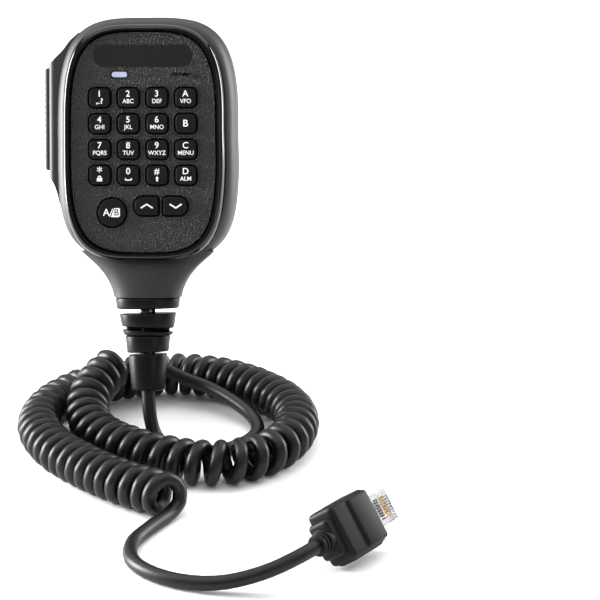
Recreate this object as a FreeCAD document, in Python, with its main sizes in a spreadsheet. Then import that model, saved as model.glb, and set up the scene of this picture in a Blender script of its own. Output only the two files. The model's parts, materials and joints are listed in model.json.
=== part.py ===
# Hand microphone with a keypad, a curly cord and a modular plug, in millimetres.
#
# The handset is drawn upright, with its magnetic back face on the plane y = 0, its front towards -Y,
# its press-to-talk bar on the -X side and its cord leaving downwards. The whole handset then leans
# back about the X axis through the origin, which is the centre of that back face. The cord lies on a
# level surface below. A depth called "front" or "back" below counts forwards from the back face.
import FreeCAD, Part
import Sketcher
import math
import os

V = FreeCAD.Vector

SIZES = [
    ("lean", 16, "degrees that the handset leans back"),
    ("case_half_width", 34.7, "casing, half its width at its widest"),
    ("case_mid", 4, "height of the widest place"),
    ("case_rise", 49.7, "casing top above the widest place"),
    ("case_drop", 43.5, "casing bottom below the widest place, without the neck"),
    ("case_power", 3.6, "squareness of the casing's outline"),
    ("case_back", 5, "depth of the rear case's main surface"),
    ("case_front", 26.5, "depth of the front case's face"),
    ("seam_back", 19.8, "rear side of the gap between the two cases"),
    ("seam_front", 20.2, "front side of the same gap"),
    ("wall", 2.2, "casing wall"),
    ("neck_end", -53.3, "height of the neck's lower face"),
    ("neck_depth", 19, "depth of the neck's and the cord's axis"),
    ("bezel_half_width", 30.9, "glossy ring, half its outer width"),
    ("bezel_top", 50.7, "height of its upper edge"),
    ("bezel_bottom", -39.2, "height of its lower edge"),
    ("bezel_front", 32.2, "depth of its crest"),
    ("bezel_width", 2.9, "ring width seen from the front"),
    ("bezel_power", 3.6, "squareness of the ring's outline"),
    ("ledge", 1.3, "width of the ledge that the panel rests on"),
    ("panel_gap", 0.25, "groove between the ring and the panel"),
    ("panel_back", 29.4, "depth of the face panel's back"),
    ("panel_front", 31, "depth of the face panel's front"),
    ("rim_high", 0.3, "raised rim round each key hole"),
    ("rim_wide", 0.4, "width of that rim"),
    ("key_width", 7.8, "keypad key"),
    ("key_tall", 6.9, "keypad key"),
    ("key_round", 1.9, "keypad key, corner radius"),
    ("key_front", 31.9, "depth of the keys' faces"),
    ("key_gap", 0.8, "gap round a key in its hole"),
    ("key_flange", 1.15, "how far a key's flange stands out behind the panel"),
    ("arrow_flange", 0.9, "the same for the up and down keys"),
    ("flange_back", 28.5, "depth of the flange's back"),
    ("flange_front", 29.3, "depth of the flange's front"),
    ("key_pitch_x", 10.93, "spacing of the keypad's columns"),
    ("key_pitch_z", 9.75, "spacing of the keypad's rows"),
    ("key_first_z", 22.6, "height of the top row"),
    ("round_key", 5.25, "radius of the round key"),
    ("round_key_x", -11.85, "place of the round key"),
    ("round_key_z", -20.8, "place of the round key"),
    ("arrow_width", 9, "up and down keys"),
    ("arrow_tall", 6.8, "up and down keys"),
    ("arrow_round", 1, "up and down keys, inner corner radius"),
    ("arrow_x", 6.8, "middle of the pair of arrow keys"),
    ("arrow_pitch", 11.05, "spacing of the arrow keys"),
    ("arrow_z", -18.3, "height of the arrow keys"),
    ("name_width", 37, "blank name plate"),
    ("name_tall", 8.3, "blank name plate"),
    ("name_z", 38.35, "height of the name plate"),
    ("name_back", 30.6, "depth of its recess"),
    ("name_front", 31.05, "depth of its face"),
    ("lens_width", 5.8, "lamp lens"),
    ("lens_tall", 2, "lamp lens"),
    ("lens_x", -8.9, "place of the lamp lens"),
    ("lens_z", 31.4, "place of the lamp lens and the sound slot"),
    ("slot_width", 8, "sound slot"),
    ("slot_tall", 1.2, "sound slot"),
    ("slot_x", 14.9, "place of the sound slot"),
    ("mat_back", 26.9, "keypad mat"),
    ("mat_front", 27.8, "keypad mat"),
    ("board_back", 25.2, "circuit board"),
    ("board_front", 26.8, "circuit board"),
    ("frame_back", 18.4, "inner frame"),
    ("plate_width", 30.6, "magnetic back plate"),
    ("plate_tall", 39, "magnetic back plate"),
    ("plate_arch", 1.5, "rise of the back plate's top edge"),
    ("plate_thick", 1.4, "magnetic back plate"),
    ("keeper_wide", 20, "steel keeper behind the back plate"),
    ("keeper_tall", 28, "steel keeper"),
    ("keeper_thick", 1.5, "steel keeper"),
    ("platform_back", 0.8, "depth of the raised platform's face"),
    ("badge_size", 10.8, "blank orange badge"),
    ("badge_z", -26.8, "height of the badge"),
    ("screw_x", 12.9, "case screws, half their spacing across"),
    ("screw_z", 16.9, "case screws, half their spacing up and down"),
    ("screw_shank", 1.25, "case screws, radius"),
    ("screw_head", 2.1, "case screws, head radius"),
    ("ptt_out", 39.8, "press-to-talk bar, outer face"),
    ("ptt_flange_out", 36.1, "outer side of its flange"),
    ("ptt_in", 34.9, "inner side of its flange"),
    ("ptt_tall", 39.3, "press-to-talk bar"),
    ("ptt_deep", 9, "press-to-talk bar"),
    ("ptt_z", 14.85, "its middle height"),
    ("ptt_mid", 14.1, "its middle depth"),
    ("ptt_gap", 0.3, "gap round the bar"),
    ("shoulder_out", 37.9, "shoulder of the casing that holds the bar"),
    ("shoulder_back", 6.8, "depth of the shoulder's rear side"),
    ("shoulder_deep", 14.8, "shoulder, from its rear side to its front side"),
    ("wire", 5.3, "cord diameter"),
    ("coil", 17.5, "outer diameter of the curly part"),
    ("floor_drop", 104.4, "surface that the cord lies on, below the origin"),
    ("relief_end", -89, "height of the strain relief's lower end"),
    ("shank_wide", 9.1, "relief's shank in the neck, half its width"),
    ("shank_deep", 5.9, "relief's shank in the neck, half its depth"),
    ("shank_gap", 0.2, "gap round the shank"),
    ("slot_depth_left", 2.3, "how near the relief's slots come to its axis"),
    ("plug_x", 73.3, "cord's end at the plug"),
    ("plug_y", -159.2, "cord's end at the plug"),
    ("plug_rise", 11.9, "plug axis above the surface"),
    ("plug_yaw", 59, "direction of the plug, degrees from +X"),
    ("plug_roll", 237, "roll of the plug about its axis, degrees"),
    ("collar_long", 4.5, "grooved collar of the plug's boot"),
    ("boot_long", 24.5, "plug boot"),
    ("hood_step", 3.4, "length of the boot's narrower rear part"),
    ("boot_wide", 20, "plug boot"),
    ("boot_thick", 12.4, "plug boot"),
    ("tip_long", 11.5, "clear plug, the length that stands out"),
    ("tip_wide", 11.7, "clear plug"),
    ("tip_thick", 7.2, "clear plug"),
]

doc = FreeCAD.newDocument("hand_microphone")
sheet = doc.addObject("Spreadsheet::Sheet", "sizes")
for row, (alias, value, note) in enumerate(SIZES, start=1):
    sheet.set("A%d" % row, alias)
    sheet.set("B%d" % row, str(value))
    sheet.set("C%d" % row, note)
    sheet.setAlias("B%d" % row, alias)
doc.recompute()

parts = []


def size(alias):
    return float(getattr(sheet, alias))


LEAN = FreeCAD.Placement(V(0, 0, 0), FreeCAD.Rotation(V(1, 0, 0), -size("lean")))
FLAT = FreeCAD.Placement()
RELIEF_POWER = 2.3


def keep(item, label, placement):
    """Name a finished sub-part, put it in its place and list it for export."""
    item.Label = label
    item.Placement = placement
    parts.append(item)
    return item


def keep_shape(shape, label, placement):
    item = doc.addObject("Part::Feature", label)
    item.Shape = shape
    return keep(item, label, placement)


def bind(item, **expressions):
    for name, expression in expressions.items():
        item.setExpression(name.replace("__", "."), expression)


# ---------------------------------------------------------------- outlines and plain solids

def loop_outline(half_width, top, bottom, power, front, middle=None):
    """Closed rounded outline in an upright plane: a superellipse with its own upper and lower half."""
    steps = 32
    centre = (top + bottom) / 2 if middle is None else middle
    points = []
    for step in range(steps):
        turn = 2 * math.pi * step / steps
        across = abs(math.cos(turn)) ** (2 / power)
        along = abs(math.sin(turn)) ** (2 / power)
        reach = top - centre if math.sin(turn) > 0 else centre - bottom
        x = math.copysign(half_width * across, math.cos(turn))
        z = centre + math.copysign(reach * along, math.sin(turn))
        points.append(V(x, -front, z))
    curve = Part.BSplineCurve()
    curve.interpolate(Points=points, PeriodicFlag=True)
    return Part.Wire([curve.toShape()])


def ring_outline(half_width, half_depth, power, level, front):
    """Closed rounded outline in a level plane."""
    steps = 24
    points = []
    for step in range(steps):
        turn = 2 * math.pi * step / steps
        across = abs(math.cos(turn)) ** (2 / power)
        deep = abs(math.sin(turn)) ** (2 / power)
        x = math.copysign(half_width * across, math.cos(turn))
        y = math.copysign(half_depth * deep, math.sin(turn))
        points.append(V(x, y - front, level))
    curve = Part.BSplineCurve()
    curve.interpolate(Points=points, PeriodicFlag=True)
    return Part.Wire([curve.toShape()])


def case_outline(inset, front):
    """The casing's outline, drawn in by an even inset."""
    return loop_outline(size("case_half_width") - inset, size("case_mid") + size("case_rise") - inset,
                        size("case_mid") - size("case_drop") + inset, size("case_power"), front,
                        size("case_mid"))


def bezel_outline(inset, front):
    return loop_outline(size("bezel_half_width") - inset, size("bezel_top") - inset,
                        size("bezel_bottom") + inset, size("bezel_power"), front)


def stretch(wire, depth):
    """Solid between an upright outline and its copy, depth further to the front."""
    return Part.Face(wire).extrude(V(0, -depth, 0))


def loft(wires):
    return Part.makeLoft(wires, True, False)


def box(x_low, x_high, front_low, front_high, z_low, z_high):
    return Part.makeBox(x_high - x_low, front_high - front_low, z_high - z_low,
                        V(x_low, -front_high, z_low))


def post(radius, x, z, front_low, front_high):
    """Round bar along the depth."""
    return Part.makeCylinder(radius, front_high - front_low, V(x, -front_low, z), V(0, -1, 0))


def round_rect(width, tall, radius, x, z, front, depth):
    """Rounded block: width by tall, its rear face at the given depth."""
    block = box(x - width / 2, x + width / 2, front, front + depth, z - tall / 2, z + tall / 2)
    edges = [edge for edge in block.Edges if abs(edge.Vertexes[0].Y - edge.Vertexes[-1].Y) > depth / 2]
    return block.makeFillet(radius, edges)


def rows_and_columns():
    for row in range(4):
        for column in range(4):
            x = (column - 1.5) * size("key_pitch_x")
            z = size("key_first_z") - row * size("key_pitch_z")
            yield row, column, x, z


def arrow_shape(side, grow, front, depth):
    """Up or down key's outline: square inner side, round outer end."""
    width = size("arrow_width") + 2 * grow
    tall = size("arrow_tall") + 2 * grow
    x = size("arrow_x") + side * size("arrow_pitch") / 2
    z = size("arrow_z")
    block = box(x - width / 2, x + width / 2, front, front + depth, z - tall / 2, z + tall / 2)
    outer = [edge for edge in block.Edges
             if abs(edge.Vertexes[0].Y - edge.Vertexes[-1].Y) > depth / 2
             and (edge.Vertexes[0].X - x) * side > 0]
    outer_radius = tall * 0.46
    block = block.makeFillet(outer_radius, outer)
    inner = [edge for edge in block.Edges
             if abs(edge.Vertexes[0].Y - edge.Vertexes[-1].Y) > depth / 2
             and (edge.Vertexes[0].X - x) * side < -width / 2 + 0.01]
    return block.makeFillet(size("arrow_round") + grow, inner)


# ---------------------------------------------------------------- sketched bodies

def sketch_on(body, role, offset):
    """New sketch on one of the body's own origin planes, moved along its normal."""
    plane = [item for item in body.Origin.OriginFeatures if item.Role == role][0]
    sketch = body.newObject("Sketcher::SketchObject", body.Name + "_sketch")
    sketch.AttachmentSupport = [(plane, "")]
    sketch.MapMode = "FlatFace"
    sketch.setExpression(".AttachmentOffset.Base.z", offset)
    return sketch


def draw_round_rect(sketch, width, tall, radius, x, y):
    """Fully constrained rounded rectangle. Each argument is a spreadsheet expression."""
    lines = [((-3, -4), (3, -4)), ((4, -3), (4, 3)), ((3, 4), (-3, 4)), ((-4, 3), (-4, -3))]
    centres = [(3, -3), (3, 3), (-3, 3), (-3, -3)]
    for number in range(4):
        start, end = lines[number]
        sketch.addGeometry(Part.LineSegment(V(start[0], start[1], 0), V(end[0], end[1], 0)))
        circle = Part.Circle(V(centres[number][0], centres[number][1], 0), V(0, 0, 1), 1)
        first = math.radians(-90 + 90 * number)
        sketch.addGeometry(Part.ArcOfCircle(circle, first, first + math.pi / 2))
    for number in range(8):
        following = (number + 1) % 8
        sketch.addConstraint(Sketcher.Constraint("Tangent", number, 2, following, 1))
    sketch.addConstraint(Sketcher.Constraint("Horizontal", 0))
    sketch.addConstraint(Sketcher.Constraint("Horizontal", 4))
    sketch.addConstraint(Sketcher.Constraint("Vertical", 2))
    sketch.addConstraint(Sketcher.Constraint("Vertical", 6))
    for number in (3, 5, 7):
        sketch.addConstraint(Sketcher.Constraint("Equal", 1, number))
    named = [("radius", Sketcher.Constraint("Radius", 1, 1), radius),
             ("right", Sketcher.Constraint("DistanceX", -1, 1, 2, 1, 4), "(%s) + (%s) / 2" % (x, width)),
             ("left", Sketcher.Constraint("DistanceX", -1, 1, 6, 1, -4), "(%s) - (%s) / 2" % (x, width)),
             ("above", Sketcher.Constraint("DistanceY", -1, 1, 4, 1, 4), "(%s) + (%s) / 2" % (y, tall)),
             ("below", Sketcher.Constraint("DistanceY", -1, 1, 0, 1, -4), "(%s) - (%s) / 2" % (y, tall))]
    for name, constraint, expression in named:
        index = sketch.addConstraint(constraint)
        sketch.renameConstraint(index, name)
        sketch.setExpression("Constraints." + name, expression)


def draw_circle(sketch, radius, x, y):
    sketch.addGeometry(Part.Circle(V(0, 0, 0), V(0, 0, 1), 3))
    named = [("radius", Sketcher.Constraint("Radius", 0, 3), radius),
             ("across", Sketcher.Constraint("DistanceX", -1, 1, 0, 3, 1), x),
             ("up", Sketcher.Constraint("DistanceY", -1, 1, 0, 3, 1), y)]
    for name, constraint, expression in named:
        index = sketch.addConstraint(constraint)
        sketch.renameConstraint(index, name)
        sketch.setExpression("Constraints." + name, expression)


def add_pad(body, sketch, length):
    pad = body.newObject("PartDesign::Pad", body.Name + "_pad")
    pad.Profile = sketch
    pad.setExpression("Length", length)
    return pad


def soften_end(body, feature, direction, radius):
    """Round every edge of the feature's end face on the given side."""
    doc.recompute()
    shape = feature.Shape
    far = max(vertex.Point.dot(direction) for vertex in shape.Vertexes)
    names = []
    for number, edge in enumerate(shape.Edges, start=1):
        if all(abs(vertex.Point.dot(direction) - far) < 0.001 for vertex in edge.Vertexes):
            names.append("Edge%d" % number)
    fillet = body.newObject("PartDesign::Fillet", body.Name + "_fillet")
    fillet.Base = (feature, names)
    fillet.Radius = radius
    return fillet


def block_body(label, width, tall, radius, x, z, back, front, soft=0.0):
    """Rounded plate or cap: a sketch on the upright plane padded towards the front."""
    body = doc.addObject("PartDesign::Body", label)
    sketch = sketch_on(body, "XZ_Plane", back)
    draw_round_rect(sketch, width, tall, radius, x, z)
    pad = add_pad(body, sketch, "(%s) - (%s)" % (front, back))
    if soft:
        soften_end(body, pad, V(0, -1, 0), soft)
    return body


def key_body(label, draw_cap, draw_flange):
    """Key: a cap that stands in its hole and a wider flange behind the panel."""
    body = doc.addObject("PartDesign::Body", label)
    cap = sketch_on(body, "XZ_Plane", "sizes.flange_back")
    draw_cap(cap)
    cap_pad = add_pad(body, cap, "sizes.key_front - sizes.flange_back")
    cap_soft = soften_end(body, cap_pad, V(0, -1, 0), 0.5)
    flange = sketch_on(body, "XZ_Plane", "sizes.flange_back")
    draw_flange(flange)
    add_pad(body, flange, "sizes.flange_front - sizes.flange_back")
    return keep(body, label, LEAN)


# ---------------------------------------------------------------- casing

def case_solid(extra, rear_stop, front_stop):
    """Casing body inside the given extra inset, between two depths: one loft each way from the middle.

    Each step is a depth and how far the outline is drawn in there.
    """
    middle = 15
    front_steps = [(middle, 0), (20, 0.25), (23.5, 1), (25.5, 2.2), (front_stop, 3.4)]
    rear_steps = [(middle, 0), (11, 0.5), (8.2, 1.9), (6.3, 4.3), (rear_stop, 7.5)]
    front_part = loft([case_outline(inset + extra, front) for front, inset in front_steps])
    rear_part = loft([case_outline(inset + extra, front) for front, inset in rear_steps])
    return front_part.fuse(rear_part)


def neck_solid(extra, lowest, highest):
    """Neck inside the given extra inset, between two heights. Levels: height, half width, half depth."""
    levels = [(size("neck_end"), 12.9, 9.4), (-50, 13.8, 9.3), (-47, 15.2, 9.1), (-44, 17.2, 8.7),
              (-41, 19.9, 8.1), (-38.5, 22.7, 7.3), (-35.5, 25.9, 7)]
    power = 2.5
    wires = [ring_outline(wide - extra, deep - extra, power, level, size("neck_depth"))
             for level, wide, deep in levels]
    solid = loft(wires)
    return solid.common(box(-40, 40, 0, 40, lowest, highest))


def platform_solid():
    """Raised platform on the back that carries the magnetic plate and the badge.

    Each step is a depth, a half width, and the heights of the upper and lower edges.
    """
    steps = [(9, 25, 34, -41), (5, 23.4, 30.5, -38.5), (2.2, 21.7, 27.4, -36.2),
             (size("platform_back"), 19.8, 25, -34.4)]
    power = 5
    return loft([loop_outline(wide, top, low, power, front) for front, wide, top, low in steps])


def shoulder_solid():
    """Bulge on the side of the casing that the press-to-talk bar sits in."""
    half = size("ptt_tall") / 2
    out = -size("shoulder_out")
    low = size("ptt_z") - half
    high = size("ptt_z") + half
    corners = [(-26, low - 17), (out + 4.3, low - 13), (out + 3.3, low - 8.7), (out + 2.1, low - 5.4),
               (out, low - 2.2), (out, high + 0.9), (out + 2.7, high + 3.7), (out + 5.5, high + 6.4),
               (out + 8.4, high + 10.3), (-26, high + 13.4)]
    points = [V(x, -size("shoulder_back"), z) for x, z in corners]
    block = Part.Face(Part.makePolygon(points + points[:1])).extrude(V(0, -size("shoulder_deep"), 0))
    long_edges = [edge for edge in block.Edges
                  if edge.BoundBox.XMax < out + 0.01 and edge.BoundBox.ZLength > half]
    edge_radius = 2.4
    return block.makeFillet(edge_radius, long_edges)


def ptt_opening():
    """Window for the press-to-talk bar, and the pocket behind it for its flange."""
    half_z = size("ptt_tall") / 2
    half_d = size("ptt_deep") / 2
    gap = size("ptt_gap")
    mid = size("ptt_mid")
    z = size("ptt_z")
    outside = -size("ptt_out") - 5
    inside = -30
    pocket_out = -size("ptt_flange_out") - 0.2
    pocket_back = mid - 5.7
    pocket_more = 1.5
    window = box(outside, inside, mid - half_d - gap, mid + half_d + gap, z - half_z - gap,
                 z + half_z + gap)
    pocket = box(pocket_out, inside, pocket_back, size("seam_back") + 0.01, z - half_z - pocket_more,
                 z + half_z + pocket_more)
    return window.fuse(pocket)


def build_cases():
    wall = size("wall")
    reach = 60
    outer = case_solid(0, size("case_back"), size("case_front"))
    outer = outer.fuse([neck_solid(0, size("neck_end"), -30), platform_solid(), shoulder_solid()])
    cavity = case_solid(wall, size("case_back") + wall, size("case_front") + 1)
    cavity = cavity.common(box(-reach, reach, size("case_back") + wall, size("seam_front"), -reach,
                               reach))
    neck_floor = size("neck_end") + 3.3
    cavity = cavity.fuse(neck_solid(wall, neck_floor, -30))
    gap = size("shank_gap")
    shank = loft([ring_outline(size("shank_wide") + gap, size("shank_deep") + gap, RELIEF_POWER, level,
                               size("neck_depth")) for level in (size("neck_end") - 0.7, -49)])
    keeper_half_wide = size("keeper_wide") / 2 + 0.4
    keeper_half_tall = size("keeper_tall") / 2 + 0.4
    magnet_pocket = box(-keeper_half_wide, keeper_half_wide, 3, 8, -keeper_half_tall, keeper_half_tall)
    rear = outer.cut([cavity, shank, ptt_opening(), magnet_pocket])
    rear = rear.common(box(-reach, reach, 0, size("seam_back"), -reach, reach))
    plate_gap = 0.4
    plate_recess = round_rect(size("plate_width") + plate_gap, size("plate_tall") + plate_gap, 2.2, 0, 0,
                              0, size("plate_thick"))
    arch_low = size("plate_tall") / 2 - 0.5
    arch_high = size("plate_tall") / 2 + 0.2 + size("plate_arch")
    arch_recess = box(-14, 14, 0, size("plate_thick"), arch_low, arch_high)
    badge_hole = size("badge_size") + 0.3
    badge_recess = round_rect(badge_hole, badge_hole, 1.8, 0, size("badge_z"), 0, 1.2)
    cuts = [plate_recess, arch_recess, badge_recess]
    screw_gap = 0.15
    for side_x in (-1, 1):
        for side_z in (-1, 1):
            x = side_x * size("screw_x")
            z = side_z * size("screw_z")
            cuts.append(post(size("screw_head") + screw_gap, x, z, 1, 3.6))
            cuts.append(post(size("screw_shank") + screw_gap, x, z, 3, 10))
    keep_shape(rear.cut(cuts), "rear_case", LEAN)

    opening = stretch(bezel_outline(size("bezel_width") + size("ledge"), size("seam_front") - 1), 10)
    front = outer.common(box(-reach, reach, size("seam_front"), 40, -reach, reach))
    neck_room = neck_solid(wall, neck_floor, -34)
    front = front.cut([opening, neck_room, shank])
    pilot = 0.95
    front = front.cut([post(pilot, x, z, size("seam_front") - 1, size("seam_front") + 4)
                       for x, z in frame_screw_places()])
    keep_shape(front, "front_case", LEAN)


def frame_screw_places():
    return [(side * x, z) for side in (-1, 1) for x, z in ((28.4, 28), (28.9, -8), (25.4, -24), (12, 48))]


def build_gasket():
    deep = size("seam_front") - size("seam_back")
    set_in = 0.9
    outside = stretch(case_outline(set_in, size("seam_back")), deep)
    inside = stretch(case_outline(size("wall") + 0.6, size("seam_back") - 1), deep + 2)
    ring = outside.cut(inside)
    keep_shape(ring, "case_gasket", LEAN)


def build_bezel():
    base = size("case_front")
    crest = size("bezel_front")
    steps = [(base, 0), (base + 3, 0.1), (crest - 1.1, 0.5), (crest - 0.25, 1.15), (crest, 1.9)]
    outside = loft([bezel_outline(inset, front) for front, inset in steps])
    wide = size("bezel_width")
    well = loft([bezel_outline(wide, size("panel_back") - 0.05), bezel_outline(wide, crest - 1.2),
                 bezel_outline(wide - 0.5, crest + 0.3)])
    through = stretch(bezel_outline(wide + size("ledge"), base - 1), 6)
    keep_shape(outside.cut([well, through]), "bezel_ring", LEAN)


# ---------------------------------------------------------------- face

def build_face_panel():
    back = size("panel_back")
    thick = size("panel_front") - back
    inset = size("bezel_width") + size("panel_gap")
    sheet_part = loft([bezel_outline(inset, back), bezel_outline(inset, back + thick - 0.35),
                       bezel_outline(inset + 0.3, back + thick)])
    rim = thick + size("rim_high")
    gap = size("key_gap")
    grow = gap + size("rim_wide")
    rims = []
    holes = []
    for row, column, x, z in rows_and_columns():
        rims.append(round_rect(size("key_width") + 2 * grow, size("key_tall") + 2 * grow,
                               size("key_round") + grow, x, z, back, rim))
        holes.append(round_rect(size("key_width") + 2 * gap, size("key_tall") + 2 * gap,
                                size("key_round") + gap, x, z, back - 1, rim + 2))
    place = (size("round_key_x"), size("round_key_z"))
    rims.append(post(size("round_key") + grow, place[0], place[1], back, back + rim))
    holes.append(post(size("round_key") + gap, place[0], place[1], back - 1, back + rim + 1))
    for side in (-1, 1):
        rims.append(arrow_shape(side, grow, back, rim))
        holes.append(arrow_shape(side, gap, back - 1, rim + 2))
    sheet_part = sheet_part.fuse(rims)
    name_recess = round_rect(size("name_width") + 0.3, size("name_tall") + 0.3,
                             size("name_tall") * 0.45, 0, size("name_z"), size("name_back"), 2)
    lens_hole = round_rect(size("lens_width") + 0.2, size("lens_tall") + 0.2,
                           size("lens_tall") * 0.5, size("lens_x"), size("lens_z"), back - 1, 4)
    dish = round_rect(size("lens_width") + 1.6, size("lens_tall") + 1.2, size("lens_tall") * 0.7,
                      size("lens_x"), size("lens_z"), back + thick - 0.3, 2)
    slot = round_rect(size("slot_width"), size("slot_tall"), size("slot_tall") * 0.45,
                      size("slot_x"), size("lens_z"), back + thick - 0.5, 2)
    sound_hole = box(size("slot_x") + 0.2, size("slot_x") + 2.4, back - 1, back + 4,
                     size("lens_z") - 0.45, size("lens_z") + 0.45)
    panel = sheet_part.cut(holes + [name_recess, lens_hole, dish, slot, sound_hole])
    keep_shape(panel, "face_panel", LEAN)


def build_face_trim():
    body = block_body("name_plate", "sizes.name_width", "sizes.name_tall", "sizes.name_tall * 0.44",
                      "0", "sizes.name_z", "sizes.name_back", "sizes.name_front", 0.15)
    keep(body, "name_plate", LEAN)
    body = block_body("led_lens", "sizes.lens_width", "sizes.lens_tall", "sizes.lens_tall * 0.45",
                      "sizes.lens_x", "sizes.lens_z", "28.4", "sizes.panel_front + 0.1", 0.2)
    keep(body, "led_lens", LEAN)


KEY_NAMES = [["key_1", "key_2", "key_3", "key_a"],
             ["key_4", "key_5", "key_6", "key_b"],
             ["key_7", "key_8", "key_9", "key_c"],
             ["key_star", "key_0", "key_hash", "key_d"]]


def build_keys():
    for row, column, x, z in rows_and_columns():
        across = "sizes.key_pitch_x * %s" % (column - 1.5)
        up = "sizes.key_first_z - sizes.key_pitch_z * %d" % row

        def cap(sketch, across=across, up=up):
            draw_round_rect(sketch, "sizes.key_width", "sizes.key_tall", "sizes.key_round", across, up)

        def flange(sketch, across=across, up=up):
            draw_round_rect(sketch, "sizes.key_width + 2 * sizes.key_flange",
                            "sizes.key_tall + 2 * sizes.key_flange",
                            "sizes.key_round + sizes.key_flange", across, up)

        key_body(KEY_NAMES[row][column], cap, flange)

    key_body("key_ab",
             lambda sketch: draw_circle(sketch, "sizes.round_key", "sizes.round_key_x",
                                        "sizes.round_key_z"),
             lambda sketch: draw_circle(sketch, "sizes.round_key + sizes.key_flange",
                                        "sizes.round_key_x", "sizes.round_key_z"))
    for label, side in (("key_up", -1), ("key_down", 1)):
        cap = arrow_shape(side, 0, size("flange_back"), size("key_front") - size("flange_back"))
        face = [edge for edge in cap.Edges if edge.BoundBox.YMax < -size("key_front") + 0.01]
        cap = cap.makeFillet(0.5, face)
        flange = arrow_shape(side, size("arrow_flange"), size("flange_back"),
                             size("flange_front") - size("flange_back"))
        keep_shape(cap.fuse(flange).removeSplitter(), label, LEAN)


# ---------------------------------------------------------------- inside

def board_outline(inset, front):
    return bezel_outline(size("bezel_width") + size("ledge") + 0.5 + inset, front)


def board_screw_places():
    return [(side * x, z) for side in (-1, 1) for x, z in ((20, 36), (15, -29.5))]


def build_inside():
    thick = size("board_front") - size("board_back")
    board = stretch(board_outline(0, size("board_back")), thick)
    board = board.cut([post(1.1, x, z, size("board_back") - 1, size("board_front") + 1)
                       for x, z in board_screw_places()])
    keep_shape(board, "circuit_board", LEAN)

    mat = block_body("keypad_mat", "43.4", "53.4", "5", "0", "0.4", "sizes.mat_back", "sizes.mat_front")
    keep(mat, "keypad_mat", LEAN)

    frame = stretch(case_outline(3.4, size("frame_back")), size("seam_front") - size("frame_back"))
    windows = [box(-9, 9, 10, 30, -12, 12), box(-26, -17, 10, 30, -16, 28), box(17, 26, 10, 30, -16, 28)]
    wire_notch = box(-6, 6, 10, 30, -40, -24)
    frame = frame.cut(windows + [wire_notch])
    posts = [post(3, side_x * size("screw_x"), side_z * size("screw_z"), 8.5, size("frame_back"))
             for side_x in (-1, 1) for side_z in (-1, 1)]
    posts += [post(2, x, z, size("seam_front"), size("board_back")) for x, z in board_screw_places()]
    frame = frame.fuse(posts)
    bores = [post(size("screw_shank") + 0.05, side_x * size("screw_x"), side_z * size("screw_z"),
                  8, size("seam_front") + 1) for side_x in (-1, 1) for side_z in (-1, 1)]
    bores += [post(1.25, x, z, size("frame_back") - 1, size("seam_front") + 1)
              for x, z in frame_screw_places()]
    bores += [post(0.85, x, z, size("seam_front") + 1, size("board_back") + 1)
              for x, z in board_screw_places()]
    keep_shape(frame.cut(bores), "inner_frame", LEAN)

    capsule = doc.addObject("Part::Cylinder", "mic_capsule")
    bind(capsule, Radius="3", Height="2.1")
    spin = FreeCAD.Rotation(V(1, 0, 0), 90)
    place = FreeCAD.Placement(V(size("slot_x"), -size("board_front") - 0.05, size("lens_z")), spin)
    keep(capsule, "mic_capsule", LEAN.multiply(place))
    seal = post(4, size("slot_x"), size("lens_z"), size("board_front") + 0.05, size("panel_back") - 0.1)
    seal = seal.cut(post(3.05, size("slot_x"), size("lens_z"), size("board_front"), size("panel_back")))
    keep_shape(seal, "mic_seal", LEAN)

    lamp = doc.addObject("Part::Box", "led_chip")
    bind(lamp, Length="3.2", Width="1.3", Height="1.6")
    place = FreeCAD.Placement(V(size("lens_x") - 1.6, -size("board_front") - 1.35, size("lens_z") - 0.8),
                              FreeCAD.Rotation())
    keep(lamp, "led_chip", LEAN.multiply(place))

    on_board = size("board_back") - 0.05
    chips = [box(-7, 5, 23.4, on_board, -8, 4), box(9, 15, 23.8, on_board, -6, 2),
             box(-16, -11, 24, on_board, 10, 15), box(8, 12, 24.2, on_board, 12, 18),
             box(-3, 6, 21.8, on_board, -27, -23)]
    keep_shape(Part.makeCompound(chips), "board_chips", LEAN)


def screw_shape(shank, head, x, z, front_low, front_high, head_thick):
    """Pan head at the rear, shank towards the front, with a cross recess."""
    body = post(shank, x, z, front_low, front_high)
    cap = post(head, x, z, front_low, front_low + head_thick)
    slit = 0.25
    arm = head * 0.6
    floor = front_low + head_thick * 0.5
    cross = [box(x - slit, x + slit, front_low - 1, floor, z - arm, z + arm),
             box(x - arm, x + arm, front_low - 1, floor, z - slit, z + slit)]
    return body.fuse(cap).cut(cross)


def build_screws():
    case = [screw_shape(size("screw_shank"), size("screw_head"), sx * size("screw_x"),
                        sz * size("screw_z"), 1.7, 19, 1.8) for sx in (-1, 1) for sz in (-1, 1)]
    keep_shape(Part.makeCompound(case), "case_screws", LEAN)
    inner = [screw_shape(0.9, 1.8, x, z, size("frame_back") - 1.2, size("seam_front") + 3.5, 1.15)
             for x, z in frame_screw_places()]
    keep_shape(Part.makeCompound(inner), "frame_screws", LEAN)
    small = []
    for x, z in board_screw_places():
        shank = post(0.8, x, z, size("seam_front") + 1.4, size("board_front") + 0.05)
        small.append(shank.fuse(post(1.7, x, z, size("board_front") + 0.02, size("board_front") + 1)))
    keep_shape(Part.makeCompound(small), "board_screws", LEAN)


# ---------------------------------------------------------------- back

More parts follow.
